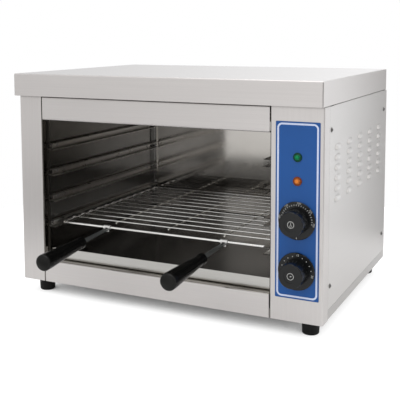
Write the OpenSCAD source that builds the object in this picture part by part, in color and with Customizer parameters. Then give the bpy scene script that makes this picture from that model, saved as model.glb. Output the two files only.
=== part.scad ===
// Electric cheese melter: an open-fronted sheet-metal cooking chamber on four rubber feet.
// A wire rack with two clipped-on handles slides in folded runners under two tubular
// heating elements, and a crumb tray slides over the lower fascia. The controls sit behind
// the right-hand post. All sizes are in millimetres; X is to the right, the front faces -Y
// and Z = 0 is the counter. The origin is the centre of the whole outline at the counter.

/* [Body] */
// Width across the side covers
body_w = 600; // [570:5:660]
// Depth from the front faces to the back panel
body_d = 436; // [420:2:480]
// Height of the casing between the feet and the lid
body_h = 355; // [345:1:400]
// Thickness of the outer sheet
sheet = 1.2; // [1:0.1:1.5]
// Inner radius of the sheet bends
bend_r = 1.5; // [1:0.1:2]
// Gap at the butt joints between panels
seam = 0.3; // [0.2:0.05:0.5]
// Overlap of the panels behind a seam
lap = 12; // [8:1:16]

/* [Lid] */
// Height of the lid
lid_h = 43; // [30:1:55]
// Overhang of the lid in front of the fascia
lid_front = 14.5; // [8:0.5:24]
// Overhang of the lid at each side
lid_side = 1.5; // [0.5:0.5:4]
// Distance from the lid's rear skirt to the back panel's face
lid_setback = 10; // [2:1:14]
// Width of the lid's inward lip
lid_lip = 26; // [20:1:32]
// Height of the open seam between the casing and the lid
lid_seam = 1.4; // [0.6:0.1:2]
// Radius of the spacers that hold the lid's lip clear of the casing
lid_pad_r = 4; // [3:0.25:4.5]

/* [Front] */
// Width of the plain left-hand post
left_post_w = 51; // [46:1:60]
// Width of the right-hand post that carries the controls
control_w = 92; // [88:1:110]
// Depth of the posts' return along the side
side_return = 28; // [20:1:36]
// Depth of the flange behind the post's return that takes the side cover's screws
screw_flange = 18; // [14:1:24]
// Depth of the returns that frame the opening
mouth_return = 14.4; // [12:0.2:18]
// Gap between the ends of the two fascias and the posts
fascia_gap = 0.9; // [0.3:0.1:0.9]
// Height of the top fascia
top_fascia_h = 44; // [38:1:52]
// Height of the bottom fascia
bottom_fascia_h = 41.4; // [36:0.2:48]

/* [Base] */
// Height of the base pan's outer upstands
pan_upstand = 17.5; // [14:0.5:22]
// Height of the base pan's front upstand behind the fascia
front_upstand = 16; // [10:1:20]

/* [Feet] */
// Height of a foot
foot_h = 27; // [15:1:40]
// Radius of a foot at the casing
foot_top_r = 15.4; // [13:0.2:18]
// Radius of a foot at the counter
foot_bottom_r = 14.3; // [12:0.1:15]
// Distance from the side to the centre of a foot
foot_inset_x = 30.5; // [26:0.5:40]
// Distance from the front or back to the centre of a foot
foot_inset_y = 33.7; // [26:0.1:40]
// Radius of the foot screws
foot_screw_r = 2.5; // [2:0.25:3]

/* [Back] */
// Depth of the back panel's side flanges
back_flange = 38; // [34:1:46]
// Depth of the back panel's top flange
back_top_flange = 22; // [18:1:28]
// Air gap between the back liner and the back panel
back_gap = 8.8; // [6:0.2:16]

/* [Chamber] */
// Thickness of the chamber sheet
liner_sheet = 1; // [0.8:0.1:1.2]
// Step from the mouth's edge to the side liner's face
liner_step = 2.5; // [1.5:0.5:4]
// Width of the side liners' outward flanges
liner_flange = 12; // [9:1:14]
// Distance from the casing's top to the ceiling liner
ceiling_gap = 12; // [8:1:16]
// Width of the side liners' flanges in the chamber's rear corners
liner_corner = 8; // [6:0.5:9]
// Depth of the back liner's upright edges, turned towards the front
liner_lip = 4; // [2:0.5:4.5]
// Height of the lowest corner screw above the casing's underside
liner_screw_up = 121; // [118:1:130]
// Spacing of the corner screws
liner_screw_pitch = 86; // [70:1:96]

/* [Runners] */
// Height of the lowest runner's centre above the casing's underside
runner_up = 110; // [100:1:116]
// Spacing of the runner levels
runner_pitch = 49.5; // [44:0.5:50]
// Outside height of a runner
runner_h = 13.3; // [12:0.1:15]
// Width of the runner's flanges
runner_w = 12.5; // [11:0.5:16]
// Distance that the runners stand out in front of the side liners
runner_over = 3.8; // [1:0.2:6]
// Distance from the runner's rear end to the back liner
runner_back = 6; // [4:1:12]
// Length of the opening cut in the runner's web at each end
runner_relief = 16; // [8:1:20]
// Distance from the runner's end to its rivet
rivet_in = 29.4; // [26:0.2:40]
// Radius of the rivets that hold the runners
rivet_r = 1.6; // [1.2:0.1:1.8]

/* [Rack] */
// Clearance from the rack's side wires to each side liner
rack_side_gap = 6.5; // [4:0.5:8]
// Distance from the casing's front to the rack's front wire
rack_front = 44; // [36:1:60]
// Clearance from the rack's rear wire to the back liner
rack_back_gap = 5; // [3:1:20]
// Diameter of the frame wire
frame_wire = 5; // [4:0.5:6]
// Diameter of the cross wires
cross_wire = 2.8; // [2.4:0.1:3.2]
// Diameter of the support wires
support_wire = 3.2; // [2.8:0.1:3.6]
// Number of cross wires
cross_count = 12; // [8:1:14]
// Distance from the front wire to the first cross wire
cross_first = 35; // [30:1:44]
// Distance that the support wires start in front of the first cross wire
support_start = 5; // [3:1:20]
// Spacing of the support wires
support_pitch = 114; // [90:1:130]
// Centre-line radius of the frame's corners
corner_r = 7; // [6:1:16]

/* [Handles] */
// Spacing of the two handles
handle_pitch = 242; // [180:2:300]
// Offset of the handle pair from the rack's centre
handle_shift = 6; // [-10:1:10]
// Length of the shank from the front wire to the grip
shank_len = 87; // [60:1:100]
// Length of the grip
grip_len = 121; // [110:1:150]
// Radius of the grip at the shank
grip_rear_r = 10.4; // [9:0.2:12]
// Radius of the grip near its free end
grip_front_r = 14.2; // [12:0.2:16]
// Edge radius of the grip's domed end
grip_edge = 4; // [2:0.5:6]
// Width of the shank channel
shank_w = 6.4; // [5:0.2:8]
// Depth of the shank channel at the grip
shank_h = 5; // [4:0.2:6]
// Depth of the shank channel at the clip
nose_h = 3; // [2:0.2:4]
// Width of the hook that grips the front wire
hook_w = 14; // [10:0.5:18]
// Width of the clip's tail under the hook
tail_w = 10; // [7:0.5:10]
// Distance that the clip's tail reaches below the front wire
hook_tail = 5; // [3:0.5:8]
// Thickness of the shank and clip strip
strip = 1.2; // [1:0.1:1.4]
// Downward slope of the handles in degrees
droop = 3.2; // [0:0.1:5]
// Angle in degrees by which each handle's free end leans towards the other
toe_in = 1; // [0:0.25:1.5]

/* [Crumb tray] */
// Height of the tray
tray_h = 20.8; // [16:0.2:28]
// Clearance at each side of the tray
tray_side_gap = 1.5; // [1:0.5:3]
// Distance from the mouth's return to the tray's front
tray_front_gap = 1.6; // [1:0.2:4]
// Distance from the tray's rear wall to the back liner
tray_back_gap = 5; // [3:1:20]

/* [Heating elements] */
// Diameter of the sheathed tube
element_d = 8; // [6.5:0.5:9]
// Distance from the ceiling liner to the tubes' centre line
element_drop = 22; // [18:1:24]
// Spacing of the two legs of an element
element_pitch = 62; // [50:2:80]
// Distance from the chamber's front or back to the nearest leg
element_margin = 84; // [60:2:100]
// Distance from the left liner to the end of the return bend
element_end = 26; // [20:1:50]
// Length of the tube's cold end outside the right liner
cold_end = 18; // [14:1:22]

/* [Controls] */
// Distance from the casing's right side to the row of controls
control_inset = 44.5; // [42:0.5:50]
// Height of the timer shaft above the casing's underside
timer_up = 86; // [80:1:92]
// Height of the thermostat shaft above the casing's underside
thermostat_up = 170; // [164:1:180]
// Height of the amber lamp above the casing's underside
amber_up = 234.5; // [228:0.5:240]
// Height of the green lamp above the casing's underside
green_up = 273.5; // [268:0.5:290]
// Width of the label
label_w = 74.8; // [68:0.2:76]
// Height of the label
label_h = 292; // [285:1:296]
// Height of the label's lower edge above the casing's underside
label_up = 39; // [30:1:44]
// Thickness of the label
label_t = 0.4; // [0.3:0.1:0.8]
// Corner radius of the label
label_r = 1.5; // [0.5:0.5:12]

/* [Dials] */
// Radius of a dial's skirt
skirt_r = 31.5; // [28:0.5:34]
// Clearance behind a dial's skirt
skirt_gap = 1.25; // [1:0.25:3]
// Thickness of a dial's skirt
skirt_t = 2.2; // [2:0.2:3.4]
// Radius of a dial's grip at the skirt
dial_base_r = 21.5; // [20.5:0.5:25]
// Radius of a dial's grip at its face
dial_face_r = 20.5; // [16:0.5:20.5]
// Height of a dial above the label
dial_h = 32.5; // [28:0.5:36]
// Radius of the recess in a dial's face
dial_recess_r = 11; // [8:0.5:14]
// Number of finger scallops around a dial
scallops = 8; // [5:1:9]
// Depth of a finger scallop
scallop_depth = 0.8; // [0.4:0.1:1.5]
// Radius of a finger scallop
scallop_r = 9; // [7:0.5:12]
// Radius of the control shafts
shaft_r = 3; // [2.75:0.25:3.5]
// Radial running clearance of a shaft in its bush
shaft_play = 0.05; // [0.03:0.01:0.08]
// Outer radius of the threaded bushes
bush_r = 5; // [4.5:0.25:5.5]

/* [Lamps] */
// Radius of a lens's flange
lamp_r = 7.6; // [6.4:0.2:9]
// Thickness of a lens's flange
lens_flange = 1.8; // [1.4:0.2:2.4]
// Radius of a lens's dome
lens_r = 5.6; // [4.6:0.2:6]
// Height of a lens's dome above its flange
lens_dome = 3; // [2:0.25:4]
// Radius of a lamp's barrel behind the post
barrel_r = 5; // [4:0.25:6]
// Length of a lamp's barrel behind the post
barrel_len = 24; // [18:1:30]
// Radius of the spring collar on a lamp's barrel
lamp_collar_r = 8; // [7:0.5:10]

/* [Louvres] */
// Number of louvre columns
louvre_columns = 5; // [3:1:5]
// Number of louvre rows
louvre_rows = 6; // [3:1:7]
// Spacing of the louvre columns
louvre_pitch_y = 74; // [60:1:78]
// Spacing of the louvre rows
louvre_pitch_z = 17.4; // [14:0.2:22]
// Length of a louvre
louvre_len = 33; // [24:1:44]
// Height of a louvre's hood
louvre_h = 8.5; // [6:0.5:11]
// Distance that a louvre's hood stands out
louvre_rise = 4; // [3:0.25:5]
// Height of the top row above the casing's underside
louvre_up = 281; // [270:1:300]
// Distance from the casing's front to the centre of the first column
louvre_in = 75; // [68:1:90]

/* [Cable entry] */
// Bore radius of the cable gland
gland_bore_r = 4.5; // [3.5:0.25:5]
// Length of the gland outside the back panel
gland_out = 16; // [12:1:24]
// Distance from the casing's right side to the gland
gland_inset = 46; // [40:1:56]
// Height of the gland above the casing's underside
gland_up = 62; // [50:1:80]

/* [Fixings] */
// Radius of a panel screw's shank
screw_r = 1.9; // [1.5:0.1:2.2]
// Radius of a panel screw's head
head_r = 3.8; // [3:0.2:4.4]
// Height of a panel screw's head
head_h = 2; // [1.6:0.1:2.6]
// Radial clearance of a screw in its hole
hole_play = 0.15; // [0.1:0.05:0.4]
// Distance from the cover's front or rear edge to its screws
cover_screw_in = 9; // [7:0.5:11]
// Distance from the cover's top or bottom to its screws
cover_screw_up = 39; // [25:1:60]

/* [Hidden] */
$fn = 48;

steel = "#c9c8c6";
bright = "#b4b3b0";
wire_steel = "#d8d7d4";
black = "#1d1d1e";
blue = "#2f5596";
brass_tone = "#b99a58";

// Outside bend radius of the two sheets
outer_r = bend_r + sheet;
liner_r_out = bend_r + liner_sheet;

// Domed end of a grip, and how far the handles reach in front of the casing
dome_r = 40;
handle_len = shank_len + grip_len;
dome_drop = shank_h / 2 * sin(droop);
dome_reach = ((handle_len - dome_r) * cos(droop) - dome_drop) * cos(toe_in) + dome_r;
handle_reach = round(10 * (dome_reach - rack_front)) / 10;

// Main levels and faces of the casing
half = body_w / 2;
front_y = (handle_reach - body_d - gland_out) / 2;
back_y = front_y + body_d;
base_z = foot_h;
top_z = base_z + body_h;
lid_z = top_z + lid_h;
mouth_l = -half + left_post_w;
mouth_r = half - control_w;
mouth_z = base_z + bottom_fascia_h;
panel_z = base_z + pan_upstand + seam;

// Underside of the lid, and the rows of spacers on the fascia, the covers and the back panel
lip_under_z = top_z + lid_seam;
pad_front_y = front_y + outer_r + lid_pad_r + 0.5;
pad_rear_y = back_y - back_top_flange + lid_pad_r + 2;
pad_side_ys = [front_y + 66, (front_y + back_y) / 2, back_y - 60];
pad_inset = 60;

// Faces of the chamber
liner_l = mouth_l + liner_step;
liner_r = mouth_r - liner_step;
mid_x = (liner_l + liner_r) / 2;
liner_y = front_y + mouth_return;
liner_back = back_y - sheet - back_gap - liner_sheet;
ceiling_z = top_z - ceiling_gap;
floor_l = liner_l - liner_flange - 2;
floor_r = liner_r + liner_flange + 2;

// Runners and the rack that rests in the lowest pair
runner_y0 = liner_y - runner_over;
runner_y1 = liner_back - runner_back;
rest_gap = 0.3;
rack_z = base_z + runner_up - runner_h / 2 + liner_sheet + rest_gap + frame_wire / 2;
rack_l = liner_l + rack_side_gap;
rack_r = liner_r - rack_side_gap;
rack_y0 = front_y + rack_front;
rack_y1 = liner_back - rack_back_gap - frame_wire / 2;
weld = 0.3;
hook_play = 0.2;
tang = 24;
pocket_play = 0.1;
rivet_head_r = rivet_r + 1;
rivet_head_h = 1;
rivet_ys = [runner_y0 + rivet_in, runner_y1 - rivet_in];
cross_z = rack_z + (frame_wire + cross_wire) / 2 - weld;
support_z = cross_z - (cross_wire + support_wire) / 2 + weld;
cross_pitch = (rack_y1 - rack_y0 - cross_first - cross_wire * 4) / (cross_count - 1);

// Rear corners of the chamber, with the corner screws and their clearance over the rack
lip_clear = 11;
lip_z = rack_z + frame_wire / 2 + lip_clear;
corner_screw_r = 1.4;
corner_head_r = 2.6;
corner_head_h = 1.4;
corner_screw_len = 6;
corner_screw_zs = [for (i = [0 : 2]) base_z + liner_screw_up + i * liner_screw_pitch];

// Crumb tray
tray_y0 = liner_y + tray_front_gap;
tray_y1 = liner_back - tray_back_gap;
tray_z = mouth_z + rest_gap;

// Heating elements
element_z = ceiling_z - element_drop;
element_r = element_d / 2;
front_leg_y = liner_y + element_margin;
rear_leg_y = liner_back - element_margin - element_pitch;
leg_ys = [front_leg_y, front_leg_y + element_pitch, rear_leg_y, rear_leg_y + element_pitch];
fitting_r = 6;
fitting_collar_r = fitting_r + 2.5;
fitting_collar_t = 3;
fitting_hex_r = fitting_r + 3.5;
fitting_hex_t = 5;
fitting_play = 0.05;
tube_end_x = liner_r + liner_sheet + cold_end;
bead_len = 6;
bead_step = 0.6;
stud_r = 1.8;
stud_len = 16;
stud_nut_x = 11;
stud_nut_t = 2.4;
stud_nut_r = 3.4;
hanger_foot = 14;
hanger_margin = 14;
hanger_drop = 5;
hanger_right = 90;

// Controls
control_x = half - control_inset;
post_y = front_y + sheet;
face_y = front_y - label_t;
dial_ups = [thermostat_up, timer_up];
lamp_ups = [green_up, amber_up];
nut_t = 2.4;
bush_len = 5.4;
bush_root = 1;
control_depth = 26;
shaft_deep = 14;
bore_deep = 17;
shaft_short = 8;
nut_over = 3;
thermostat_half_w = 20;
thermostat_half_h = 18;
thermostat_corner = 4;
switch_r = 13;
switch_len = 5;
timer_can_r = 24;
timer_gear_r = 17;
timer_gear_len = 12;
tab_w = 6.4;
tab_t = 0.8;
tab_len = 12;
thermostat_tab_x = 12;
thermostat_tab_z = 18;
timer_tab_x = 10;
timer_tab_z = 20;
lamp_tab_x = 2.6;
lamp_tab_w = 3;
lamp_tab_len = 8;
collar_t = 3;
lens_edge = 0.8;

// Thermostat bulb beside the right liner
bulb_r = 3;
bulb_len = 96;
bulb_off = 12;
capillary_r = 1;
capillary_bend = 8;
bulb_drop = 52;
bulb_z = ceiling_z - bulb_drop;
bulb_x = liner_r - bulb_off;
bulb_y0 = rear_leg_y;
capillary_off = 8;
capillary_x = control_x - capillary_off - capillary_bend;

// Feet, cable gland and fixings
foot_xs = [-half + foot_inset_x, half - foot_inset_x];
foot_ys = [front_y + foot_inset_y, back_y - foot_inset_y];
foot_recess_r = 6.5;
foot_recess_h = 9;
gland_x = half - gland_inset;
gland_z = base_z + gland_up;
gland_thread_r = gland_bore_r + 3;
cover_screw_ys = [front_y + side_return + cover_screw_in, back_y - back_flange + cover_screw_in + 4];
cover_screw_zs = [base_z + cover_screw_up + pan_upstand, top_z - cover_screw_up];
panel_screw_len = 9;
back_screw_span = body_w - 160;
back_screw_xs = [for (i = [0 : 3]) -half + 60 + i * back_screw_span / 3];
back_screw_z = base_z + pan_upstand + lap / 2;

// ---------- Helpers ----------

// Box between two limits on each axis
module span(x, y, z)
    translate([x[0], y[0], z[0]])
        cube([x[1] - x[0], y[1] - y[0], z[1] - z[0]]);

// Round bars along each axis
module rod_x(x, y, z, r)
    translate([x[0], y, z]) rotate([0, 90, 0]) cylinder(h = x[1] - x[0], r = r);
module rod_y(x, y, z, r)
    translate([x, y[1], z]) rotate([90, 0, 0]) cylinder(h = y[1] - y[0], r = r);
module rod_z(x, y, z, r)
    translate([x, y, z[0]]) cylinder(h = z[1] - z[0], r = r);

// Profiles drawn in YZ, XZ and XY, extruded along the axis that is left
module along_x(x)
    translate([x[0], 0, 0]) rotate([90, 0, 90]) linear_extrude(x[1] - x[0]) children();
module along_y(y)
    translate([0, y[1], 0]) rotate([90, 0, 0]) linear_extrude(y[1] - y[0]) children();
module along_z(z)
    translate([0, 0, z[0]]) linear_extrude(z[1] - z[0]) children();

// Quarter ring of a bend, below and to the right of its centre
module bend(t)
    intersection() {
        difference() {
            circle(bend_r + t);
            circle(bend_r);
        }
        translate([0, -bend_r - t]) square(bend_r + t);
    }

// Folded strip seen on edge: each leg runs on, turns left by 90 degrees and keeps its
// thickness on its left, so the right-hand side is the outer face
module folded(legs, t = sheet, i = 0) {
    square([legs[i], t]);
    if (i < len(legs) - 1)
        translate([legs[i], t + bend_r]) {
            bend(t);
            rotate(90) translate([0, -t - bend_r]) folded(legs, t, i + 1);
        }
}

// Rectangle and box with rounded edges
module soft_rect(x, y, r) {
    translate([x[0] + r, y[0]]) square([x[1] - x[0] - 2 * r, y[1] - y[0]]);
    translate([x[0], y[0] + r]) square([x[1] - x[0], y[1] - y[0] - 2 * r]);
    for (cx = [x[0] + r, x[1] - r], cy = [y[0] + r, y[1] - r])
        translate([cx, cy]) circle(r);
}
module soft_box(x, y, z, r)
    intersection() {
        along_x(x) soft_rect(y, z, r);
        along_y(y) soft_rect(x, z, r);
        along_z(z) soft_rect(x, y, r);
    }

// Pan-head screw: the head sits on z = 0 and the shank points down
module panel_screw(length, shank = screw_r, head = head_r, tall = head_h) {
    crown_r = head * 1.9;
    rotate_extrude() {
        square([head, tall * 0.4]);
        intersection() {
            translate([0, tall * 0.4]) square([head, tall * 0.6]);
            translate([0, tall - crown_r]) circle(crown_r);
        }
    }
    translate([0, 0, -length]) cylinder(h = length, r = shank);
}

// ---------- Casing ----------

module base_pan() color(steel) difference() {
    side_y = front_y + side_return + seam;
    union() {
        // Floor with its side upstands
        along_y([side_y, back_y - outer_r])
            translate([half, base_z + pan_upstand]) rotate(-90) mirror([0, 1])
                folded([pan_upstand - outer_r, body_w - 2 * outer_r, pan_upstand - outer_r]);
        // Rear upstand
        along_x([-half + outer_r, half - outer_r])
            translate([back_y - 60, base_z]) folded([60 - outer_r, pan_upstand - outer_r]);
        // Front apron and its upstand behind the posts and the fascia
        along_x([-half + outer_r, half - outer_r])
            translate([side_y + outer_r, base_z]) mirror([1, 0])
                folded([side_return + seam - sheet, front_upstand - outer_r]);
        // Lips that carry the side covers and the back panel
        for (s = [-1, 1])
            span([s * (half - 1.5 * sheet) - sheet / 2, s * (half - 1.5 * sheet) + sheet / 2],
                [side_y + screw_flange + seam, back_y - back_flange - seam],
                [base_z + sheet + bend_r, panel_z + lap]);
        span([-half + back_flange, half - back_flange], [back_y - 2 * sheet, back_y - sheet],
            [base_z + sheet + bend_r, panel_z + lap]);
    }
    for (x = foot_xs, y = foot_ys)
        rod_z(x, y, [base_z - 1, base_z + sheet + 1], foot_screw_r + hole_play);
    for (x = back_screw_xs)
        rod_y(x, [back_y - 3 * sheet, back_y], back_screw_z, screw_r + hole_play);
    // Air slots under the controls
    for (i = [0 : 5])
        translate([0, foot_ys[0] + 60 + i * 22, 0])
            along_z([base_z - 1, base_z + sheet + 1])
                soft_rect([control_x - 22, control_x + 18], [0, 6], 3 - 0.01);
}

// Screw flange of a post, stepped in behind the side cover
module post_flange(s)
    span([s * (half - 1.5 * sheet) - sheet / 2, s * (half - 1.5 * sheet) + sheet / 2],
        [front_y + side_return - lap, front_y + side_return + screw_flange],
        [base_z + outer_r + seam, top_z]);

module left_post() color(steel) difference() {
    union() {
        along_z([base_z, top_z])
            translate([-half, front_y + side_return]) rotate(-90)
                folded([side_return - outer_r, left_post_w - 2 * outer_r, mouth_return - outer_r]);
        post_flange(-1);
    }
    // Relief over the base pan's front upstand
    span([mouth_l - outer_r, mouth_l + 1], [front_y + sheet, liner_y + 1],
        [base_z - 1, base_z + front_upstand + seam]);
    cover_screw_holes(-1, cover_screw_ys[0]);
}

module control_post() color(steel) difference() {
    union() {
        along_z([base_z, top_z])
            translate([mouth_r, front_y + mouth_return]) rotate(-90)
                folded([mouth_return - outer_r, control_w - 2 * outer_r, side_return - outer_r]);
        post_flange(1);
    }
    span([mouth_r - 1, mouth_r + outer_r], [front_y + sheet, liner_y + 1],
        [base_z - 1, base_z + front_upstand + seam]);
    cover_screw_holes(1, cover_screw_ys[0]);
    control_holes([front_y - 1, post_y + 1]);
}

// Holes for the two bushes and the two lamps, shared by the post and the label
module control_holes(y) {
    for (up = dial_ups)
        rod_y(control_x, y, base_z + up, bush_r + hole_play);
    for (up = lamp_ups)
        rod_y(control_x, y, base_z + up, barrel_r + hole_play);
}

module cover_screw_holes(s, y)
    for (z = cover_screw_zs)
        rod_x([s * half - 4 * sheet, s * half + 4 * sheet], y, z, screw_r + hole_play);

module top_fascia() color(steel)
    along_x([mouth_l + fascia_gap, mouth_r - fascia_gap])
        translate([liner_y, top_z]) rotate(180)
            folded([mouth_return - outer_r, top_fascia_h - 2 * outer_r, mouth_return - outer_r]);

module bottom_fascia() color(steel)
    along_x([mouth_l + fascia_gap, mouth_r - fascia_gap])
        translate([liner_y, mouth_z]) rotate(180)
            folded([mouth_return - outer_r, bottom_fascia_h - outer_r]);

// Flat cover with a stiffening flange along its top
module side_cover(s) {
    difference() {
        union() {
            span([s * (half - sheet / 2) - sheet / 2, s * (half - sheet / 2) + sheet / 2],
                [front_y + side_return + seam, back_y], [panel_z, top_z - sheet / 2]);
            span([s * (half - lap / 2) - lap / 2, s * (half - lap / 2) + lap / 2],
                [front_y + side_return + screw_flange + seam, back_y - back_flange - seam],
                [top_z - sheet, top_z]);
        }
        for (y = cover_screw_ys)
            cover_screw_holes(s, y);
    }
}

// Pressed louvre: a slice of a round-ended bar whose axis lies behind the cover, cut off
// and open along its lower edge. inset takes the sheet's thickness off it.
module louvre_form(inset, depth) {
    bar_r = (louvre_h * louvre_h + louvre_rise * louvre_rise) / (2 * louvre_rise);
    reach = louvre_len / 2 - louvre_h;
    intersection() {
        translate([louvre_rise - bar_r, 0, 0]) {
            rod_y(0, [-reach, reach], 0, bar_r - inset);
            for (e = [-1, 1])
                translate([0, e * reach, 0]) sphere(bar_r - inset);
        }
        span([-depth, louvre_rise + 1], [-louvre_len, louvre_len], [0, louvre_h + 1]);
    }
}

module louvre_pattern()
    for (i = [0 : louvre_columns - 1], j = [0 : louvre_rows - 1])
        translate([half, front_y + louvre_in + i * louvre_pitch_y,
                base_z + louvre_up - j * louvre_pitch_z])
            children();

module left_side_cover() color(steel) side_cover(-1);

module right_side_cover() color(steel) difference() {
    union() {
        side_cover(1);
        louvre_pattern() louvre_form(0, sheet / 2);
    }
    louvre_pattern() louvre_form(sheet, 2 * sheet);
}

module back_panel() color(steel) difference() {
    union() {
        along_z([panel_z, top_z])
            translate([half - sheet, back_y - back_flange]) rotate(90)
                folded([back_flange - outer_r, body_w - 2 * (sheet + outer_r), back_flange - outer_r]);
        span([-half + outer_r + sheet, half - outer_r - sheet],
            [back_y - back_top_flange, back_y - sheet / 2], [top_z - sheet, top_z]);
    }
    for (s = [-1, 1])
        cover_screw_holes(s, cover_screw_ys[1]);
    for (x = back_screw_xs)
        rod_y(x, [back_y - 3 * sheet, back_y + 1], back_screw_z, screw_r + hole_play);
    rod_y(gland_x, [back_y - 3 * sheet, back_y + 1], gland_z, gland_thread_r + hole_play);
    // Cooling slots behind the controls
    for (i = [0 : 7])
        along_y([back_y - 3 * sheet, back_y + 1])
            translate([0, top_z - 60 - i * 10])
                soft_rect([control_x - 26, control_x + 14], [0, 4], 2 - 0.01);
}

// Hollow cap with a sharp lower edge and a lip turned in under it
module lid_shell() difference() {
    x = half + lid_side;
    y0 = front_y - lid_front;
    y1 = back_y - lid_setback;
    soft_box([-x, x], [y0, y1], [lip_under_z - lid_h, lid_z], outer_r);
    span([-x - 1, x + 1], [y0 - 1, y1 + 1], [lip_under_z - lid_h - 1, lip_under_z]);
    soft_box([-x + sheet, x - sheet], [y0 + sheet, y1 - sheet],
        [lip_under_z + sheet, lid_z - sheet], bend_r);
    span([-x + lid_lip, x - lid_lip], [y0 + lid_lip, y1 - lid_lip],
        [lip_under_z - 1, lip_under_z + sheet + 1]);
}

module lid_pad(x, y) rod_z(x, y, [top_z, lip_under_z + sheet / 2], lid_pad_r);

module top_lid() color(steel) {
    lid_shell();
    for (s = [-1, 1], y = pad_side_ys)
        lid_pad(s * (half - lap / 2), y);
    for (x = [mouth_l + pad_inset, mouth_r - pad_inset])
        lid_pad(x, pad_front_y);
    for (s = [-1, 1])
        lid_pad(s * (half - pad_inset), pad_rear_y);
}

// ---------- Chamber ----------

// Side liner, drawn for the left-hand side: its front, top and bottom flanges turn away from
// the chamber, and its rear one turns in along the back liner
module side_liner(face) difference() {
    turn_y = liner_back - liner_r_out;
    union() {
        along_y([liner_y, turn_y])
            translate([face - liner_flange, mouth_z])
                folded([liner_flange - liner_r_out, ceiling_z - mouth_z - 2 * liner_r_out,
                    liner_flange - liner_r_out], liner_sheet);
        span([face - liner_flange, face - liner_sheet / 2], [liner_y, liner_y + liner_sheet],
            [mouth_z + liner_r_out, ceiling_z - liner_r_out]);
        along_z([mouth_z + liner_r_out, ceiling_z - liner_r_out])
            translate([face - liner_sheet, turn_y - lap]) mirror([1, 0]) rotate(90)
                folded([lap, liner_corner + liner_sheet - liner_r_out], liner_sheet);
    }
    corner_screw_holes(face + liner_corner / 2);
    for (y = rivet_ys, level = [0 : 3])
        rod_x([face - liner_sheet - 1, face + 1], y, base_z + runner_up + level * runner_pitch,
            rivet_r + hole_play);
}

module corner_screw_holes(x)
    for (z = corner_screw_zs)
        rod_y(x, [liner_back - 2 * liner_sheet, liner_back + 2 * liner_sheet], z,
            corner_screw_r + hole_play);

module left_liner() color(bright) side_liner(liner_l);

module right_liner() color(bright) difference() {
    mirror([1, 0, 0]) side_liner(-liner_r);
    for (y = leg_ys)
        rod_x([liner_r - 1, liner_r + liner_sheet + 1], y, element_z, fitting_r + hole_play);
    rod_x([liner_r - 1, liner_r + liner_sheet + 1], bulb_y0 - capillary_bend, bulb_z,
        capillary_r + hole_play);
}

module back_liner() color(bright) difference() {
    lip_xs = [liner_l + liner_corner + seam, liner_r - liner_corner - seam - liner_sheet];
    union() {
        along_x([liner_l - liner_flange, liner_r + liner_flange])
            translate([back_y - sheet, ceiling_z]) rotate(180)
                folded([back_gap + liner_sheet - liner_r_out, ceiling_z - mouth_z - 2 * liner_r_out,
                    back_gap + liner_sheet - liner_r_out], liner_sheet);
        // Upright edges beside the side liners' flanges, ending above the rack
        for (x = lip_xs)
            span([x, x + liner_sheet], [liner_back - liner_lip, liner_back + liner_sheet / 2],
                [lip_z, ceiling_z - liner_r_out]);
    }
    corner_screw_holes(liner_l + liner_corner / 2);
    corner_screw_holes(liner_r - liner_corner / 2);
}

module ceiling_liner() color(bright)
    along_x([liner_l - liner_flange, liner_r + liner_flange])
        translate([back_y - sheet - seam, ceiling_z]) mirror([1, 0])
            folded([back_y - sheet - seam - liner_y - liner_r_out,
                top_z - seam - ceiling_z - liner_r_out], liner_sheet);

module chamber_floor() color(bright) difference() {
    along_y([liner_y, back_y - sheet - seam])
        translate([floor_r, base_z + sheet]) rotate(90)
            folded([bottom_fascia_h - sheet - outer_r, floor_r - floor_l - 2 * outer_r,
                bottom_fascia_h - sheet - outer_r]);
    // Side legs stop short of the base pan's upstands
    for (y = [liner_y - 1, back_y - 2 * sheet - bend_r - 8])
        span([floor_l - 1, floor_r + 1], [y, y + 12], [base_z, base_z + front_upstand + 2 * lap]);
}

// Folded channel runner, drawn for the left-hand liner: its web is riveted to the liner and
// cut back at both ends, and its two flanges stand out into the chamber
module runner(face, level) difference() {
    z = base_z + runner_up + level * runner_pitch;
    web_half = runner_h / 2 - liner_r_out;
    along_y([runner_y0, runner_y1])
        translate([face + runner_w, z + runner_h / 2]) rotate(180)
            folded([runner_w - liner_r_out, runner_h - 2 * liner_r_out, runner_w - liner_r_out],
                liner_sheet);
    for (y = [[runner_y0 - 1, runner_y0 + runner_relief], [runner_y1 - runner_relief, runner_y1 + 1]])
        span([face - 1, face + liner_r_out], y, [z - web_half, z + web_half]);
    for (y = rivet_ys)
        rod_x([face - 1, face + liner_r_out], y, z, rivet_r + hole_play);
}
module left_runner(level) color(bright) runner(liner_l, level);
module right_runner(level) color(bright) mirror([1, 0, 0]) runner(-liner_r, level);

module runner_left_1() left_runner(0);
module runner_left_2() left_runner(1);
module runner_left_3() left_runner(2);
module runner_left_4() left_runner(3);
module runner_right_1() right_runner(0);
module runner_right_2() right_runner(1);
module runner_right_3() right_runner(2);
module runner_right_4() right_runner(3);

// ---------- Heating elements ----------

// Hairpin tube: two legs through the right liner and a return bend at the left
module element(leg_y) color("#6d675f") {
    turn = element_pitch / 2;
    bend_x = liner_l + element_end + turn + element_r;
    for (y = [leg_y, leg_y + element_pitch])
        rod_x([bend_x, tube_end_x], y, element_z, element_r);
    translate([bend_x, leg_y + turn, element_z]) rotate(90)
        rotate_extrude(angle = 180) translate([turn, 0]) circle(element_r);
}
module element_front() element(front_leg_y);
module element_rear() element(rear_leg_y);

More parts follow.
